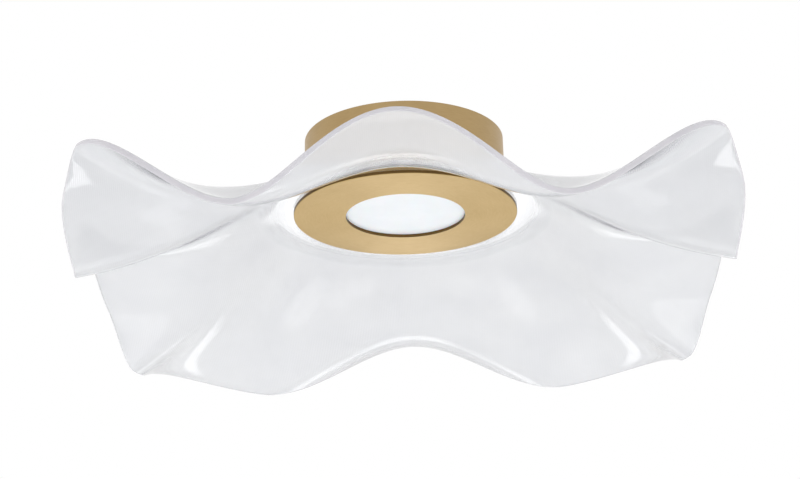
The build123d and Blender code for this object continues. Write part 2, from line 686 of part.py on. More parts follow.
with BuildPart() as driver_lid:
    with BuildSketch(Plane.XY.offset(PAN_UPPER + DRIVER_SPLIT)):
        with Locations(driver_spot):
            RectangleRounded(DRIVER_LENGTH, DRIVER_WIDTH, CORNER)
    extrude(amount=DRIVER_HEIGHT - DRIVER_SPLIT)
    fillet(driver_lid.edges().group_by(Axis.Z)[-1], radius=CORNER / 2)
    with BuildSketch(Plane.XY.offset(PAN_UPPER + DRIVER_SPLIT)):
        with Locations(driver_spot):
            Rectangle(inner_length, inner_width)
    extrude(amount=DRIVER_HEIGHT - DRIVER_SPLIT - DRIVER_WALL, mode=Mode.SUBTRACT)
place(driver_lid.part, "driver_lid")

with BuildPart() as driver_board:
    with BuildSketch(Plane.XY.offset(board_z)):
        with Locations(driver_spot):
            Rectangle(inner_length - 2 * BOARD_GAP, inner_width - 2 * BOARD_GAP)
    extrude(amount=DRIVER_BOARD)
place(driver_board.part, "driver_board")

with BuildPart() as driver_transformer:
    with BuildSketch(Plane.XY.offset(board_top)):
        with Locations((TRANSFORMER_X, DRIVER_CENTRE_Y)):
            Rectangle(TRANSFORMER_LENGTH, TRANSFORMER_WIDTH)
    extrude(amount=TRANSFORMER_HEIGHT)
    chamfer(driver_transformer.edges().filter_by(Axis.Z), length=TRANSFORMER_EDGE)
place(driver_transformer.part, "driver_transformer")

capacitors = []
for x, y, radius, height in CAPACITORS:
    with BuildPart() as capacitor:
        with BuildSketch(Plane.XY.offset(board_top)):
            with Locations((x, DRIVER_CENTRE_Y + y)):
                Circle(radius)
        extrude(amount=height)
        fillet(capacitor.edges().group_by(Axis.Z)[-1], radius=CAPACITOR_EDGE)
    capacitors.append(capacitor.part)
place(group(capacitors), "driver_capacitors")

driver_screws = [
    pan_screw(
        x, y, PAN_UPPER + DRIVER_WALL, DRIVER_WALL + PAN_THICKNESS, SCREW_RADIUS,
        SCREW_HEAD_RADIUS, SCREW_HEAD_HEIGHT, 1,
    )
    for x, y in EAR_PLACES
]
place(group(driver_screws), "driver_screws")

# Terminal block: body with a way in from both sides at each pole, and screws from above
block_top = PAN_UPPER + BLOCK_HEIGHT
with BuildPart() as terminal_block:
    with BuildSketch(Plane.XY.offset(PAN_UPPER)):
        with Locations(BLOCK_CENTRE):
            RectangleRounded(BLOCK_WIDTH, BLOCK_LENGTH, BLOCK_CORNER)
    extrude(amount=BLOCK_HEIGHT)
    for side in (-1, 1):
        with BuildSketch(Plane.YZ.offset(BLOCK_X + side * BLOCK_WIDTH / 2)):
            with Locations(*[(pole, LEAD_Z) for pole in POLES]):
                Circle(POLE_BORE)
        extrude(amount=-side * POLE_DEPTH, mode=Mode.SUBTRACT)
        with BuildSketch(Plane.XY.offset(block_top)):
            with Locations(*[(BLOCK_X + side * BLOCK_WIDTH / 4, pole) for pole in POLES]):
                Circle(WELL_RADIUS)
        extrude(amount=-WELL_DEPTH, mode=Mode.SUBTRACT)
    with BuildSketch(Plane.XY.offset(PAN_UPPER)):
        with Locations(*BLOCK_SCREW_PLACES):
            Circle(SCREW_RADIUS + SCREW_FIT)
    extrude(amount=BLOCK_HEIGHT, mode=Mode.SUBTRACT)
    with BuildSketch(Plane.XY.offset(block_top)):
        with Locations(*BLOCK_SCREW_PLACES):
            Circle(SCREW_HEAD_RADIUS + SCREW_FIT)
    extrude(amount=-BLOCK_HEIGHT / 2, mode=Mode.SUBTRACT)
place(terminal_block.part, "terminal_block")

terminal_screws = []
for side in (-1, 1):
    for pole in POLES:
        with BuildPart() as terminal_screw:
            with BuildSketch(Plane.XY.offset(block_top - WELL_DEPTH)):
                with Locations((BLOCK_X + side * BLOCK_WIDTH / 4, pole)):
                    Circle(TERMINAL_SCREW_RADIUS)
            extrude(amount=TERMINAL_SCREW_HEIGHT)
            with BuildSketch(Plane.XY.offset(block_top - WELL_DEPTH + TERMINAL_SCREW_HEIGHT)):
                with Locations((BLOCK_X + side * BLOCK_WIDTH / 4, pole)):
                    Rectangle(DRIVE_WIDTH, 2.2 * TERMINAL_SCREW_RADIUS)
            extrude(amount=-TERMINAL_SLOT_DEPTH, mode=Mode.SUBTRACT)
        terminal_screws.append(terminal_screw.part)
place(group(terminal_screws), "terminal_screws")

block_seat = block_top - BLOCK_HEIGHT / 2
block_screws = [
    pan_screw(
        x, y, block_seat, block_seat - PAN_UNDER, SCREW_RADIUS, SCREW_HEAD_RADIUS, SCREW_HEAD_HEIGHT, 1
    )
    for x, y in BLOCK_SCREW_PLACES
]
place(group(block_screws), "terminal_block_screws")

# Earth tag with its crimped barrel, and the screw that holds it
with BuildPart() as earth_tag:
    with BuildSketch(Plane.XY.offset(PAN_UPPER)):
        with Locations(TAG_CENTRE):
            Circle(TAG_RADIUS)
            Circle(SCREW_RADIUS + SCREW_FIT, mode=Mode.SUBTRACT)
    extrude(amount=TAG_THICKNESS)
place(earth_tag.part, "earth_tag")
tag_top = PAN_UPPER + TAG_THICKNESS
pan_earth_screw = pan_screw(
    *TAG_CENTRE, tag_top, tag_top - PAN_UNDER, SCREW_RADIUS, SMALL_HEAD_RADIUS, SCREW_HEAD_HEIGHT, 1
)
place(pan_earth_screw, "pan_earth_screw")

# Leads
place(group([lead(NEUTRAL_ROUTE, MAINS_LEAD), lead(LIVE_ROUTE, MAINS_LEAD)]), "mains_leads")
place(lead(EARTH_ROUTE, MAINS_LEAD), "earth_lead")
place(group([lead(route, SMALL_LEAD) for route in CENTRE_ROUTES]), "centre_led_leads")
place(group([lead(route, SMALL_LEAD) for route in EDGE_ROUTES]), "edge_led_leads")

# Grommets: a lip on each face of the metal and a bore for the two leads
grommets = []
for centre, hole, low, high, turn in (
    (GROMMET_CENTRE, GROMMET_HOLE, PAN_UNDER, PAN_UPPER, 0),
    ((EDGE_LEAD_X, EDGE_LEAD_Y), GROMMET_SMALL_HOLE, FLOOR_UNDER, FLANGE_TOP, 90),
):
    with BuildPart() as grommet:
        with BuildSketch(Plane.XY.offset(low)):
            with Locations(centre):
                Circle(hole)
        extrude(amount=high - low)
        with BuildSketch(Plane.XY.offset(high)):
            with Locations(centre):
                Circle(hole + GROMMET_LIP)
        extrude(amount=GROMMET_LIP)
        with BuildSketch(Plane.XY.offset(low)):
            with Locations(centre):
                SlotOverall(2 * (SMALL_LEAD + GROMMET_PLAY), SMALL_LEAD + GROMMET_PLAY, rotation=turn)
        extrude(amount=high - low + GROMMET_LIP, mode=Mode.SUBTRACT)
    grommets.append(grommet.part)
place(group(grommets), "pan_grommets")

# Saddle that clamps the house's cable, and its screws
with BuildPart() as cable_clamp:
    with BuildSketch(Plane.XZ.offset(-SADDLE_CENTRE_Y - SADDLE_WIDTH / 2)):
        with Locations((0, PAN_UPPER)):
            Rectangle(SADDLE_LENGTH, SADDLE_HEIGHT / 3, align=(Align.CENTER, Align.MIN))
            Rectangle(2 * (SADDLE_BORE + SADDLE_WALL), SADDLE_HEIGHT, align=(Align.CENTER, Align.MIN))
            Circle(SADDLE_BORE, mode=Mode.SUBTRACT)
    extrude(amount=SADDLE_WIDTH)
    with BuildSketch(Plane.XY.offset(PAN_UPPER)):
        with Locations(*SADDLE_PLACES):
            Circle(SCREW_RADIUS + SCREW_FIT)
    extrude(amount=SADDLE_HEIGHT / 3, mode=Mode.SUBTRACT)
place(cable_clamp.part, "cable_clamp")

saddle_seat = PAN_UPPER + SADDLE_HEIGHT / 3
saddle_screws = [
    pan_screw(
        x, y, saddle_seat, saddle_seat - PAN_UNDER, SCREW_RADIUS, SADDLE_HEAD_RADIUS, SCREW_HEAD_HEIGHT, 1
    )
    for x, y in SADDLE_PLACES
]
place(group(saddle_screws), "cable_clamp_screws")
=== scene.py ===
"""Looks of the LED ceiling light: finishes, formed sheet, turned brass, studio and camera."""

import logging
import math
from dataclasses import dataclass
from enum import Enum
from typing import Any, Iterable, Mapping, Sequence

import bpy
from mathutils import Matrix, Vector

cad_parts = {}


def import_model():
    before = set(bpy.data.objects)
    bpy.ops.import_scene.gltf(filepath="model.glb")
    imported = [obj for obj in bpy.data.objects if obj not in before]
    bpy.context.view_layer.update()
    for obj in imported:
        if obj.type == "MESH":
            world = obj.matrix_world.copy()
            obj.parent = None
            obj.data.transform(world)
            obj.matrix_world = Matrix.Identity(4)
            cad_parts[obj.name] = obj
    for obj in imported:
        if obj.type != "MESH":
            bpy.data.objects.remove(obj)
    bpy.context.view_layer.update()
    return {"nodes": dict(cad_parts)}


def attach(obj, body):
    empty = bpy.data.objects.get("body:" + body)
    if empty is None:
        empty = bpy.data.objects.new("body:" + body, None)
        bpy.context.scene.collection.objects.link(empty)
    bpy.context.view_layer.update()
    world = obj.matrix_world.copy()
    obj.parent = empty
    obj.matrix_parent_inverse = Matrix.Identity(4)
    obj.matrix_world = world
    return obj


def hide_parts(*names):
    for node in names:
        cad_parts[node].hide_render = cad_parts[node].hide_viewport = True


log = logging.getLogger("ceiling_light")
MM = 0.001
# A noise lies mostly between these, so they are spread to the full range
NOISE_LOW = 0.3
NOISE_HIGH = 0.7
LACQUER_ROUGHNESS = 0.12
SCATTER_DEPTH = 2 * MM


class Where(Enum):
    """Places of the studio lamps round the light."""

    BELOW = "below"
    BACK = "back"
    PANEL = "panel"
    LEFT = "left"
    RIGHT = "right"


def linear(code: str) -> tuple[float, float, float, float]:
    """Turns an sRGB hex colour to the linear one that shaders take.

    Args:
        code: six hex digits after a hash sign.

    Returns:
        Red, green, blue and an alpha of 1.
    """
    parts = [int(code[i : i + 2], 16) / 255 for i in (1, 3, 5)]
    turned = [c / 12.92 if c <= 0.04045 else ((c + 0.055) / 1.055) ** 2.4 for c in parts]
    return (turned[0], turned[1], turned[2], 1.0)


def node(
    tree: bpy.types.NodeTree,
    kind: str,
    values: Mapping[Any, Any] | None = None,
    links: Mapping[Any, bpy.types.NodeSocket] | None = None,
) -> bpy.types.Node:
    """Adds one node to a tree.

    Args:
        tree: the tree that takes the node.
        kind: the node's type name.
        values: settings of the node, or values of its inputs by name or number.
        links: the sockets that feed its inputs, by name or number.

    Returns:
        The new node.
    """
    made = tree.nodes.new(kind)
    for key, value in (values or {}).items():
        if isinstance(key, str) and hasattr(made, key):
            setattr(made, key, value)
        else:
            made.inputs[key].default_value = value
    for key, source in (links or {}).items():
        tree.links.new(source, made.inputs[key])
    return made


def deselect() -> None:
    """Leaves object mode with nothing selected."""
    if bpy.context.object and bpy.context.object.mode != "OBJECT":
        bpy.ops.object.mode_set(mode="OBJECT")
    bpy.ops.object.select_all(action="DESELECT")


def only(piece: bpy.types.Object) -> None:
    """Makes one piece the selected and active one.

    Args:
        piece: the object to work on.
    """
    deselect()
    piece.select_set(True)
    bpy.context.view_layer.objects.active = piece


def apply_modifiers(piece: bpy.types.Object) -> None:
    """Applies every modifier of a piece, in order.

    Args:
        piece: the object that holds them.
    """
    only(piece)
    for name in [m.name for m in piece.modifiers]:
        bpy.ops.object.modifier_apply(modifier=name)


def settle(piece: bpy.types.Object, name: str, body: str, replaced: Iterable[str] = ()) -> None:
    """Names a finished piece, puts its place in its mesh and ties it to its body.

    Args:
        piece: the finished object.
        name: its name in the part.
        body: the CAD body that it moves with.
        replaced: the CAD nodes that it stands for.
    """
    only(piece)
    bpy.ops.object.transform_apply(location=True, rotation=True, scale=True)
    piece.name = name
    piece.data.name = name
    nodes = list(replaced)
    if nodes:
        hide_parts(*nodes)
    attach(piece, body)
    log.info("%s: %d faces on %s", name, len(piece.data.polygons), body)


@dataclass(frozen=True)
class Finish:
    """A finish with cloudy colour, uneven gloss and a fine surface, the base of the others.

    grain is the size of the surface's own texture, drawn coarser where the real one is too fine
    to show, cloud the size of its slow changes and relief its depth, all in millimetres.
    """

    title: str
    colour: str
    shade: str
    roughness: float = 0.5
    spread: float = 0.08
    grain: float = 1.2
    cloud: float = 18.0
    relief: float = 0.02
    metallic: float = 0.0
    ior: float = 1.5
    coat: float = 0.0
    subsurface: float = 0.0
    transmission: float = 0.0

    def start(self) -> tuple[bpy.types.Material, bpy.types.NodeTree, bpy.types.NodeSocket]:
        """Starts the material.

        Returns:
            The empty material, its tree and the point on the piece in millimetres.
        """
        made = bpy.data.materials.new(self.title)
        made.use_nodes = True
        tree = made.node_tree
        tree.nodes.clear()
        where = node(tree, "ShaderNodeTexCoord")
        at = node(
            tree,
            "ShaderNodeVectorMath",
            {"operation": "SCALE", "Scale": 1 / MM},
            {0: where.outputs["Object"]},
        )
        return made, tree, at.outputs["Vector"]

    def dress(
        self,
        tree: bpy.types.NodeTree,
        tone: bpy.types.NodeSocket,
        gloss: bpy.types.NodeSocket,
        height: bpy.types.NodeSocket,
    ) -> bpy.types.Node:
        """Ends the material: colour, roughness and bump feed a shader with the finish's constants.

        Args:
            tree: the material's tree.
            tone: a noise that blends the colour and the shade.
            gloss: a noise that spreads the roughness.
            height: the surface's height, in the finish's relief.

        Returns:
            The shader.
        """
        share = node(
            tree,
            "ShaderNodeMapRange",
            {"From Min": NOISE_LOW, "From Max": NOISE_HIGH},
            {"Value": tone},
        )
        colour = node(
            tree,
            "ShaderNodeMix",
            {"data_type": "RGBA", 6: linear(self.colour), 7: linear(self.shade)},
            {0: share.outputs["Result"]},
        )
        rough = node(
            tree,
            "ShaderNodeMapRange",
            {
                "From Min": NOISE_LOW,
                "From Max": NOISE_HIGH,
                "To Min": self.roughness - self.spread,
                "To Max": self.roughness + self.spread,
            },
            {"Value": gloss},
        )
        bump = node(
            tree, "ShaderNodeBump", {"Strength": 1.0, "Distance": self.relief * MM}, {"Height": height}
        )
        values = {
            "Metallic": self.metallic,
            "IOR": self.ior,
            "Coat Weight": self.coat,
            "Coat Roughness": LACQUER_ROUGHNESS,
            "Transmission Weight": self.transmission,
            "Subsurface Weight": self.subsurface,
            "Subsurface Scale": SCATTER_DEPTH,
        }
        links = {
            "Base Color": colour.outputs[2],
            "Roughness": rough.outputs["Result"],
            "Normal": bump.outputs["Normal"],
        }
        surface = node(tree, "ShaderNodeBsdfPrincipled", values, links)
        node(tree, "ShaderNodeOutputMaterial", links={"Surface": surface.outputs["BSDF"]})
        return surface

    def build(self) -> bpy.types.Material:
        """Makes the material: cloudy colour, uneven gloss and a fine bump.

        Returns:
            The finished material.
        """
        made, tree, at = self.start()
        cloud = node(
            tree, "ShaderNodeTexNoise", {"Scale": 1 / self.cloud, "Detail": 3.0}, {"Vector": at}
        )
        fine = node(
            tree, "ShaderNodeTexNoise", {"Scale": 1 / self.grain, "Detail": 4.0}, {"Vector": at}
        )
        self.dress(tree, cloud.outputs["Fac"], fine.outputs["Fac"], fine.outputs["Fac"])
        return made


@dataclass(frozen=True)
class BrushedMetal(Finish):
    """Metal brushed while it turned: fine scratches run round it and draw the highlights out.

    edge is the painted shade given to its upright turned edges, and scratch the scratches' width
    in millimetres, some ten times the real one so that they show. A lower streak_turns makes them
    longer, and clouding is the share of slow cloud among them. A face counts as upright as its
    normal's height falls from upright_from to upright_to.
    """

    edge: str = ""
    scratch: float = 0.35
    anisotropy: float = 0.6
    streak_turns: float = 4.0
    clouding: float = 0.45
    upright_from: float = 0.6
    upright_to: float = 0.2

    def build(self) -> bpy.types.Material:
        """Makes the material, its scratches following circles about the lamp's axis.

        Returns:
            The finished material.
        """
        made, tree, at = self.start()
        split = node(tree, "ShaderNodeSeparateXYZ", links={0: at})
        flat = node(tree, "ShaderNodeCombineXYZ", links={0: split.outputs[0], 1: split.outputs[1]})
        radius = node(tree, "ShaderNodeVectorMath", {"operation": "LENGTH"}, {0: flat.outputs[0]})
        turn = node(tree, "ShaderNodeVectorMath", {"operation": "NORMALIZE"}, {0: flat.outputs[0]})
        slow = node(
            tree,
            "ShaderNodeVectorMath",
            {"operation": "SCALE", "Scale": self.streak_turns},
            {0: turn.outputs[0]},
        )
        round_parts = node(tree, "ShaderNodeSeparateXYZ", links={0: slow.outputs[0]})
        across = node(
            tree,
            "ShaderNodeMath",
            {"operation": "ADD"},
            {0: radius.outputs["Value"], 1: split.outputs[2]},
        )
        streak = node(
            tree,
            "ShaderNodeCombineXYZ",
            links={0: across.outputs[0], 1: round_parts.outputs[0], 2: round_parts.outputs[1]},
        )
        scratches = node(
            tree,
            "ShaderNodeTexNoise",
            {"Scale": 1 / self.scratch, "Detail": 5.0},
            {"Vector": streak.outputs[0]},
        )
        cloud = node(
            tree, "ShaderNodeTexNoise", {"Scale": 1 / self.cloud, "Detail": 3.0}, {"Vector": at}
        )
        worn = node(
            tree,
            "ShaderNodeMix",
            {"data_type": "FLOAT", 0: self.clouding},
            {2: scratches.outputs["Fac"], 3: cloud.outputs["Fac"]},
        )
        surface = self.dress(
            tree, worn.outputs[0], scratches.outputs["Fac"], scratches.outputs["Fac"]
        )
        along = node(tree, "ShaderNodeTangent", {"direction_type": "RADIAL", "axis": "Z"})
        surface.inputs["Anisotropic"].default_value = self.anisotropy
        tree.links.new(along.outputs[0], surface.inputs["Tangent"])
        if self.edge:
            self.paint_edge_shade(tree, surface)
        return made

    def paint_edge_shade(self, tree: bpy.types.NodeTree, surface: bpy.types.Node) -> None:
        """Gives upright faces the edge colour, a painted shade darker than the flat face.

        Args:
            tree: the material's tree.
            surface: its shader.
        """
        facing = node(tree, "ShaderNodeTexCoord")
        parts = node(tree, "ShaderNodeSeparateXYZ", links={0: facing.outputs["Normal"]})
        level = node(tree, "ShaderNodeMath", {"operation": "ABSOLUTE"}, {0: parts.outputs[2]})
        upright = node(
            tree,
            "ShaderNodeMapRange",
            {"From Min": self.upright_to, "From Max": self.upright_from, "To Min": 1.0, "To Max": 0.0},
            {"Value": level.outputs[0]},
        )
        worn = surface.inputs["Base Color"].links[0].from_socket
        colour = node(
            tree,
            "ShaderNodeMix",
            {"data_type": "RGBA", 7: linear(self.edge)},
            {0: upright.outputs["Result"], 6: worn},
        )
        tree.links.new(colour.outputs[2], surface.inputs["Base Color"])


@dataclass(frozen=True)
class FormedAcrylic(Finish):
    """Cast acrylic, formed hot: glossy, a little milky, with grooves that bring its light out.

    groove is the grooves' spacing in millimetres, wider than the real ones so that it shows, and
    groove_depth their share of the relief. along is the painted shade where one looks along the sheet.
    bay_centre and bay_size give the clear bay over the ring's front edge, in millimetres, and
    bay_fade where it fades, in shares of that size. The zone round the ring fades between the
    clear_radii. The painted shade starts at painted_shade_from, of 1 for a look right along the
    sheet, and hatch is how far the grooves shift it.
    """

    along: str = "#8B8A92"
    groove: float = 1.6
    groove_depth: float = 0.5
    clearest: float = 1.0
    bay_centre: tuple[float, float] = (0.0, -150.0)
    bay_size: tuple[float, float] = (84.0, 106.0)
    bay_fade: tuple[float, float] = (0.7, 1.1)
    clear_radii: tuple[float, float] = (104.0, 132.0)
    painted_shade_from: float = 0.76
    hatch: float = 0.06

    def build(self) -> bpy.types.Material:
        """Makes the material, clear near the ring and milkier down the skirt.

        Returns:
            The finished material.
        """
        made, tree, at = self.start()
        split = node(tree, "ShaderNodeSeparateXYZ", links={0: at})
        flat = node(tree, "ShaderNodeCombineXYZ", links={0: split.outputs[0], 1: split.outputs[1]})
        radius = node(tree, "ShaderNodeVectorMath", {"operation": "LENGTH"}, {0: flat.outputs[0]})
        cloud = node(
            tree, "ShaderNodeTexNoise", {"Scale": 1 / self.cloud, "Detail": 3.0}, {"Vector": at}
        )
        ripple = node(
            tree, "ShaderNodeTexNoise", {"Scale": 1 / self.grain, "Detail": 1.0}, {"Vector": at}
        )
        turns = node(
            tree,
            "ShaderNodeMath",
            {"operation": "MULTIPLY", 1: math.tau / self.groove},
            {0: split.outputs[0]},
        )
        wave = node(tree, "ShaderNodeMath", {"operation": "SINE"}, {0: turns.outputs[0]})
        height = node(
            tree,
            "ShaderNodeMath",
            {"operation": "MULTIPLY_ADD", 1: self.groove_depth},
            {0: wave.outputs[0], 2: ripple.outputs["Fac"]},
        )
        surface = self.dress(tree, cloud.outputs["Fac"], cloud.outputs["Fac"], height.outputs[0])
        self.clear(tree, surface, flat, radius)
        self.paint_fold_shade(tree, surface, wave)
        return made

    def clear(
        self,
        tree: bpy.types.NodeTree,
        surface: bpy.types.Node,
        flat: bpy.types.Node,
        radius: bpy.types.Node,
    ) -> None:
        """Makes the sheet clear round the ring and in the bay in front of it, as photographed.

        Args:
            tree: the material's tree.
            surface: its shader.
            flat: the point in plan.
            radius: its distance from the lamp's axis.
        """
        clear_to, milky_from = self.clear_radii
        inner = node(
            tree,
            "ShaderNodeMapRange",
            {"From Min": clear_to, "From Max": milky_from, "To Min": 1.0, "To Max": 0.0},
            {"Value": radius.outputs["Value"]},
        )
        moved = node(
            tree,
            "ShaderNodeVectorMath",
            {"operation": "SUBTRACT", 1: (*self.bay_centre, 0.0)},
            {0: flat.outputs[0]},
        )
        scaled = node(
            tree,
            "ShaderNodeVectorMath",
            {"operation": "DIVIDE", 1: (*self.bay_size, 1.0)},
            {0: moved.outputs[0]},
        )
        away = node(tree, "ShaderNodeVectorMath", {"operation": "LENGTH"}, {0: scaled.outputs[0]})
        fade_start, fade_end = self.bay_fade
        bay = node(
            tree,
            "ShaderNodeMapRange",
            {
                "From Min": fade_start,
                "From Max": fade_end,
                "To Min": 1.0,
                "To Max": 0.0,
                "interpolation_type": "SMOOTHSTEP",
            },
            {"Value": away.outputs["Value"]},
        )
        most = node(
            tree,
            "ShaderNodeMath",
            {"operation": "MAXIMUM"},
            {0: inner.outputs["Result"], 1: bay.outputs["Result"]},
        )
        passed = node(
            tree,
            "ShaderNodeMapRange",
            {"To Min": self.transmission, "To Max": self.clearest},
            {"Value": most.outputs[0]},
        )
        tree.links.new(passed.outputs["Result"], surface.inputs["Transmission Weight"])

    def paint_fold_shade(self, tree: bpy.types.NodeTree, surface: bpy.types.Node, wave: bpy.types.Node) -> None:
        """Paints shade into the sheet's colour where one looks along it, hatched by its grooves.

        Args:
            tree: the material's tree.
            surface: its shader.
            wave: the grooves' height, from -1 to 1.
        """
        facing = node(tree, "ShaderNodeLayerWeight", {"Blend": 0.5})
        hatched = node(
            tree,
            "ShaderNodeMath",
            {"operation": "MULTIPLY_ADD", 1: self.hatch},
            {0: wave.outputs[0], 2: facing.outputs["Facing"]},
        )
        share = node(
            tree,
            "ShaderNodeMapRange",
            {
                "From Min": self.painted_shade_from,
                "From Max": 1.0,
                "To Min": 0.0,
                "To Max": 1.0,
                "interpolation_type": "SMOOTHSTEP",
            },
            {"Value": hatched.outputs[0]},
        )
        face = surface.inputs["Base Color"].links[0].from_socket
        colour = node(
            tree,
            "ShaderNodeMix",
            {"data_type": "RGBA", 7: linear(self.along)},
            {0: share.outputs["Result"], 6: face},
        )
        tree.links.new(colour.outputs[2], surface.inputs["Base Color"])


# Brass-plated plate, brushed as it turned: warm, soft highlights drawn out round the ring; its upright edges
# carry a dark painted shade
BRASS_RING = BrushedMetal(
    "brushed_brass_turned", "#C3A771", "#B79A63", 0.34, 0.05, cloud=40.0, relief=0.004, metallic=1.0,
    edge="#6E5533",
)
# The same plating on spun steel, a little duller than the ring, its colour greyer and darker as painted shade
BRASS_DRUM = BrushedMetal(
    "brushed_brass_spun_painted_shade", "#B59B70", "#A98F64", 0.36, 0.05, cloud=40.0, relief=0.004, metallic=1.0,
)
# Cast PMMA sheet: a gloss that mirrors the room, milky light inside it
ACRYLIC = FormedAcrylic(
    "cast_acrylic_formed", "#EFF0F2", "#E9EAED", 0.03, 0.01, grain=26.0, cloud=60.0, relief=0.03,
    ior=1.49, transmission=0.42,
)
# Its polished cut edge, the same acrylic, gathers the light and is drawn a little greyer as painted shade
ACRYLIC_EDGE = Finish(
    "cast_acrylic_polished_edge", "#E6E3E8", "#DEDCE2", 0.15, 0.05, grain=1.0, cloud=20.0, relief=0.01,
    ior=1.49, transmission=0.25,
)
# Cast opal acrylic: an even white with a satin sheen, light goes a little way in
OPAL = Finish(
    "opal_acrylic", "#E2E5E8", "#DCE0E3", 0.38, 0.05, grain=0.8, cloud=25.0, relief=0.004, ior=1.49,
    subsurface=0.3,
)
FINISHES: dict[str, Finish] = {
    # Turned brass: yellow metal with small bright glints
    "brass_plain": Finish(
        "turned_brass", "#C9A65E", "#B08D4A", 0.28, 0.06, grain=0.5, cloud=4.0, relief=0.004, metallic=1.0
    ),
    # Zinc-plated steel: cool grey metal, cloudy from the plating
    "zinc_steel": Finish(
        "zinc_plated_steel", "#C2C6CA", "#A9B0B8", 0.32, 0.1, grain=0.9, cloud=6.0, relief=0.006, metallic=1.0
    ),
    # Moulded silicone rubber: a soft milky sheen
    "silicone": Finish(
        "silicone_rubber", "#D8DADC", "#CDD0D3", 0.55, 0.06, grain=0.6, cloud=9.0, relief=0.01, ior=1.41,
        subsurface=0.4,
    ),
    # Turned aluminium: pale metal, its highlights run round with the tool marks
    "hub_aluminium": BrushedMetal(
        "turned_aluminium", "#C9CBCE", "#B9BCC0", 0.3, 0.08, cloud=20.0, relief=0.006, metallic=1.0,
        scratch=0.3,
    ),
    # Powder-coated aluminium: even white with a faint orange-peel skin
    "pan_white": Finish(
        "white_powder_coat", "#EFEFEC", "#E7E7E3", 0.45, 0.06, grain=0.7, cloud=30.0, relief=0.03, coat=0.1
    ),
    # White solder mask: smooth, lightly glossy white
    "board_white": Finish(
        "white_solder_mask", "#EDEDE8", "#E2E3DC", 0.35, 0.06, grain=0.4, cloud=7.0, relief=0.008, coat=0.3
    ),
    # Green solder mask over copper: a deep, glossy green
    "board_green": Finish(
        "green_solder_mask", "#1F6B3B", "#185730", 0.3, 0.06, grain=0.5, cloud=5.0, relief=0.02, coat=0.4
    ),
    # Phosphor gel: waxy yellow blocks
    "led_body": Finish(
        "phosphor_gel", "#F0D97C", "#E6C95C", 0.4, 0.06, grain=0.3, cloud=1.6, relief=0.01, ior=1.43,
        subsurface=0.2,
    ),
    # Moulded polycarbonate: dull off-white with a fine grain
    "case_white": Finish(
        "moulded_polycarbonate", "#ECEBE6", "#E2E1DB", 0.5, 0.07, grain=0.45, cloud=22.0, relief=0.015
    ),
    # Moulded nylon: warm white that lets a little light in
    "nylon": Finish(
        "moulded_nylon", "#E6E5DB", "#DAD9CD", 0.48, 0.07, grain=0.5, cloud=8.0, relief=0.012, subsurface=0.15
    ),
    # Taped ferrite: dull, uneven brown-black
    "ferrite": Finish(
        "taped_ferrite", "#4A4137", "#352E27", 0.5, 0.1, grain=0.6, cloud=3.0, relief=0.03
    ),
    # Shrunk plastic sleeve: near black with a soft gloss
    "capacitor_sleeve": Finish(
        "shrink_sleeve", "#20242A", "#15181C", 0.3, 0.06, grain=1.0, cloud=5.0, relief=0.01, coat=0.2
    ),
    # Extruded PVC: an even brown skin with a soft sheen
    "lead_brown": Finish(
        "brown_pvc_lead", "#6B4127", "#5C3620", 0.42, 0.06, grain=0.8, cloud=5.0, relief=0.01
    ),
    # Extruded PVC, its green and yellow drawn as one yellowish green
    "lead_green": Finish(
        "green_yellow_pvc_lead", "#7FA832", "#6C9427", 0.42, 0.06, grain=0.8, cloud=5.0, relief=0.01
    ),
    # Extruded silicone: a slightly duller red skin
    "lead_red": Finish(
        "red_silicone_lead", "#B42A24", "#9C211C", 0.46, 0.06, grain=0.8, cloud=5.0, relief=0.01
    ),
    # Moulded black rubber: matt, it soaks up light
    "black_rubber": Finish(
        "moulded_black_rubber", "#26262A", "#1C1C1F", 0.62, 0.08, grain=0.5, cloud=6.0, relief=0.02
    ),
}


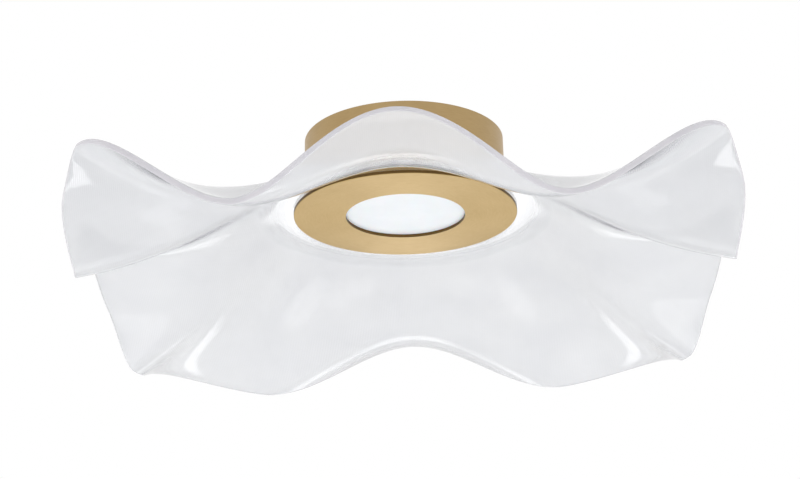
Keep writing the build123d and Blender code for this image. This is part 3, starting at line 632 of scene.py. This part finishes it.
@dataclass
class LightSheet:
    """The formed acrylic skirt. Sizes in millimetres, angles in degrees from the front."""

    hole: float = 63.0
    flat: float = 114.5
    thickness: float = 5.0
    middle: float = -66.0
    droop: float = 97.0
    droop_ease: float = 0.85
    droop_power: float = 1.5
    angles: Sequence[float] = (0, 26, 57.5, 62, 70, 85, 104, 115, 136, 150.5, 180)
    radii: Sequence[float] = (303, 277, 312, 313, 292, 285, 285, 289, 345, 310, 298)
    drops: Sequence[float] = (39, 86, 1, 35, 88, 15, 64, 106, 74, 90, 34)
    powers: Sequence[float] = (2.6, 2.6, 1.7, 1.7, 1.7, 2.6, 3.0, 3.0, 5.0, 3.0, 2.0)
    steps_round: int = 400
    flat_rings: int = 5
    skirt_rings: int = 54
    edge_round: float = 0.9
    edge_segments: int = 3
    edge_angle: float = 50.0
    smooth_angle: float = 35.0
    drill_sides: int = 32
    stud_circle: float = 76.0
    stud_hole: float = 2.3
    studs: int = 4

    def eased(self, values: Sequence[float], angle: float) -> float:
        """Reads a rim value at an angle: a smooth curve with no overshoot, mirrored left to right.

        Args:
            values: the rim's values at the sheet's angles.
            angle: degrees from the front.

        Returns:
            The value there.
        """
        turn = abs((angle + 180) % 360 - 180)
        spans = [b - a for a, b in zip(self.angles, self.angles[1:])]
        rises = [(b - a) / span for a, b, span in zip(values, values[1:], spans)]
        turns = [2 * p * q / (p + q) if p * q > 0 else 0.0 for p, q in zip(rises, rises[1:])]
        slopes = [0.0, *turns, 0.0]
        for i, span in enumerate(spans):
            if turn <= self.angles[i + 1]:
                t = (turn - self.angles[i]) / span
                start = values[i] * (1 + 2 * t) * (1 - t) ** 2 + slopes[i] * span * t * (1 - t) ** 2
                end = values[i + 1] * t * t * (3 - 2 * t) - slopes[i + 1] * span * t * t * (1 - t)
                return start + end
        return values[-1]

    def level(self, reach: float, angle: float) -> float:
        """Works out the height of the sheet's middle surface.

        Args:
            reach: 0 at the end of the flat and 1 at the rim.
            angle: degrees from the front.

        Returns:
            The height in millimetres.
        """
        if reach <= 0:
            return self.middle
        bent = reach**self.droop_power
        droop = self.droop * (1 + self.droop_ease) * bent / (bent + self.droop_ease)
        power = self.eased(self.powers, angle)
        wave = (self.eased(self.drops, angle) - self.droop) * reach**power
        return self.middle - droop - wave

    def point(self, ring: int, angle: float) -> Vector:
        """Returns the place of a ring's point, in metres.

        Args:
            ring: 0 at the hole, counted outwards.
            angle: degrees from the front.

        Returns:
            The point on the sheet's middle surface.
        """
        if ring <= self.flat_rings:
            radius = self.hole + (self.flat - self.hole) * ring / self.flat_rings
            height = self.middle
        else:
            reach = (ring - self.flat_rings) / self.skirt_rings
            radius = self.flat + (self.eased(self.radii, angle) - self.flat) * reach
            height = self.level(reach, angle)
        turn = math.radians(angle)
        return Vector((radius * math.sin(turn), -radius * math.cos(turn), height)) * MM

    def drill(self, piece: bpy.types.Object) -> None:
        """Bores the holes for the ring's studs.

        Args:
            piece: the sheet with its thickness.
        """
        for i in range(self.studs):
            turn = math.tau * (i + 0.5) / self.studs
            place = Vector((math.cos(turn), math.sin(turn), 0.0)) * self.stud_circle * MM
            place.z = self.middle * MM
            deselect()
            bpy.ops.mesh.primitive_cylinder_add(
                vertices=self.drill_sides,
                radius=self.stud_hole * MM,
                depth=3 * self.thickness * MM,
                location=place,
            )
            drill = bpy.context.object
            hole = piece.modifiers.new("hole", "BOOLEAN")
            hole.object = drill
            hole.operation = "DIFFERENCE"
            apply_modifiers(piece)
            bpy.data.objects.remove(drill)
        only(piece)

    def build(self, finish: Finish, edge_finish: Finish) -> bpy.types.Object:
        """Forms the sheet from a ring of edges and gives it its thickness.

        Args:
            finish: the acrylic.
            edge_finish: the acrylic's cut edge.

        Returns:
            The finished piece.
        """
        deselect()
        bpy.ops.mesh.primitive_circle_add(vertices=self.steps_round, radius=1.0, location=(0, 0, 0))
        piece = bpy.context.object
        bpy.ops.object.mode_set(mode="EDIT")
        bpy.ops.mesh.select_all(action="SELECT")
        for ring in range(self.flat_rings + self.skirt_rings):
            bpy.ops.mesh.extrude_edges_move()
            grow = (ring + 2) / (ring + 1)
            bpy.ops.transform.resize(value=(grow, grow, grow))
        bpy.ops.mesh.select_all(action="SELECT")
        bpy.ops.mesh.normals_make_consistent(inside=False)
        bpy.ops.object.mode_set(mode="OBJECT")
        for worn in (finish, edge_finish):
            piece.data.materials.append(worn.build())
        for vertex in piece.data.vertices:
            ring = round(vertex.co.length) - 1
            angle = math.degrees(math.atan2(vertex.co.x, -vertex.co.y))
            vertex.co = self.point(ring, angle)
        wall = piece.modifiers.new("wall", "SOLIDIFY")
        wall.thickness = self.thickness * MM
        wall.offset = 0.0
        wall.use_even_offset = True
        wall.material_offset_rim = 1
        edge = piece.modifiers.new("edge", "BEVEL")
        edge.width = self.edge_round * MM
        edge.segments = self.edge_segments
        edge.limit_method = "ANGLE"
        edge.angle_limit = math.radians(self.edge_angle)
        apply_modifiers(piece)
        self.drill(piece)
        bpy.ops.object.shade_smooth_by_angle(angle=math.radians(self.smooth_angle))
        settle(piece, "acrylic_skirt", "lamp", ["light_sheet"])
        return piece


@dataclass
class Studio:
    """The photograph's camera, white surroundings, pale floor and soft lamps.

    Places and the floor's size are in metres, turns in degrees, lens and sensor in millimetres.
    floor_glow is the share of plain white in the floor where the camera sees it.
    """

    camera_place: tuple[float, float, float] = (0.0255, -1.4905, -0.6533)
    camera_turn: tuple[float, float, float] = (110.568, 1.174, 1.628)
    lens: float = 80.37
    floor_level: float = -3.2
    floor_size: float = 30.0
    floor_colour: str = "#F4F4F4"
    sky: float = 1.0
    sensor_width: float = 36.0
    floor_glow: float = 0.7

    def camera(self) -> None:
        """Makes the camera that looks up at the light."""
        data = bpy.data.cameras.new("camera")
        data.lens = self.lens
        data.sensor_width = self.sensor_width
        data.clip_end = 100.0
        made = bpy.data.objects.new("camera", data)
        made.location = self.camera_place
        made.rotation_euler = [math.radians(a) for a in self.camera_turn]
        bpy.context.scene.collection.objects.link(made)
        bpy.context.scene.camera = made

    def world(self) -> None:
        """Makes the surroundings: white where they are seen, softer as light."""
        world = bpy.data.worlds.new("studio")
        world.use_nodes = True
        tree = world.node_tree
        tree.nodes.clear()
        bpy.context.scene.world = world
        path = node(tree, "ShaderNodeLightPath")
        clear = node(
            tree,
            "ShaderNodeMath",
            {"operation": "MAXIMUM"},
            {0: path.outputs["Is Camera Ray"], 1: path.outputs["Is Transmission Ray"]},
        )
        seen = node(
            tree,
            "ShaderNodeMath",
            {"operation": "MAXIMUM"},
            {0: clear.outputs[0], 1: path.outputs["Is Glossy Ray"]},
        )
        where = node(tree, "ShaderNodeTexCoord")
        split = node(tree, "ShaderNodeSeparateXYZ", links={0: where.outputs["Generated"]})
        fade = node(
            tree,
            "ShaderNodeMapRange",
            {"From Min": -0.2, "From Max": 0.6, "To Min": 0.7, "To Max": 1.0},
            {"Value": split.outputs[2]},
        )
        soft = node(tree, "ShaderNodeBackground", {"Strength": self.sky}, {"Color": fade.outputs[0]})
        white = node(tree, "ShaderNodeBackground", {"Strength": 1.0, "Color": (1, 1, 1, 1)})
        mix = node(
            tree,
            "ShaderNodeMixShader",
            links={0: seen.outputs[0], 1: soft.outputs[0], 2: white.outputs[0]},
        )
        node(tree, "ShaderNodeOutputWorld", links={"Surface": mix.outputs[0]})

    def floor(self) -> None:
        """Lays the pale floor that keeps a soft shadow."""
        deselect()
        bpy.ops.mesh.primitive_grid_add(
            x_subdivisions=8, y_subdivisions=8, size=self.floor_size, location=(0, 0, self.floor_level)
        )
        piece = bpy.context.object
        piece.name = "floor"
        material = bpy.data.materials.new("pale_floor")
        material.use_nodes = True
        tree = material.node_tree
        tree.nodes.clear()
        path = node(tree, "ShaderNodeLightPath")
        plain = node(tree, "ShaderNodeBsdfDiffuse", {"Color": linear(self.floor_colour)})
        glow = node(tree, "ShaderNodeEmission", {"Color": (1, 1, 1, 1), "Strength": 1.0})
        share = node(
            tree,
            "ShaderNodeMath",
            {"operation": "MULTIPLY", 1: self.floor_glow},
            {0: path.outputs["Is Camera Ray"]},
        )
        mix = node(
            tree,
            "ShaderNodeMixShader",
            links={0: share.outputs[0], 1: plain.outputs[0], 2: glow.outputs[0]},
        )
        node(tree, "ShaderNodeOutputMaterial", links={"Surface": mix.outputs[0]})
        piece.data.materials.append(material)

    def lamp(self, where: Where, place: Vector, width: float, height: float, power: float) -> None:
        """Hangs one soft lamp that looks at the light.

        Args:
            where: which lamp it is.
            place: where it hangs, in metres.
            width: its long side.
            height: its short side.
            power: its power in watts.
        """
        data = bpy.data.lights.new("lamp_" + where.value, "AREA")
        data.shape = "RECTANGLE"
        data.size = width
        data.size_y = height
        data.energy = power
        made = bpy.data.objects.new("lamp_" + where.value, data)
        made.location = place
        made.rotation_euler = (-place).to_track_quat("-Z", "Y").to_euler()
        made.visible_camera = False
        bpy.context.scene.collection.objects.link(made)

    def build(self) -> None:
        """Sets the whole studio up."""
        self.camera()
        self.world()
        self.floor()
        self.lamp(Where.BELOW, Vector((0.0, -1.9, -1.7)), 2.6, 0.25, 8.0)
        self.lamp(Where.PANEL, Vector((0.0, 0.2, -2.2)), 3.2, 1.0, 10.0)
        self.lamp(Where.BACK, Vector((0.0, 3.2, -1.3)), 1.3, 0.5, 2.0)
        self.lamp(Where.LEFT, Vector((-2.4, -0.6, -1.2)), 0.3, 1.8, 8.0)
        self.lamp(Where.RIGHT, Vector((2.4, -0.6, -1.2)), 0.3, 1.8, 8.0)
        scene = bpy.context.scene
        scene.view_settings.view_transform = "Standard"


@dataclass
class Dressing:
    """Finishes for the CAD nodes that keep their own shape."""

    nodes: Mapping[str, bpy.types.Object]

    def build(self) -> None:
        """Dresses every CAD node in its finish."""
        made: dict[str, bpy.types.Material] = {}
        special = {
            "trim_ring": BRASS_RING,
            "drum_housing": BRASS_DRUM,
            "side_screw_bushes": BRASS_DRUM,
            "opal_disc": OPAL,
        }
        for name, piece in self.nodes.items():
            slot = piece.material_slots[0].name.split(".")[0]
            finish = special.get(name) or FINISHES.get(slot) or BRASS_RING
            if finish.title not in made:
                made[finish.title] = finish.build()
            for held in piece.material_slots:
                held.material = made[finish.title]
            log.info("%s (%s): %s", name, slot, finish.title)


def main() -> None:
    """Builds the pieces in order, dresses the CAD nodes and sets up the studio."""
    logging.basicConfig(level=logging.INFO, format="%(name)s %(message)s")
    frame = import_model()
    Dressing(frame["nodes"]).build()
    LightSheet().build(ACRYLIC, ACRYLIC_EDGE)
    Studio().build()


if __name__ == "__main__":
    main()
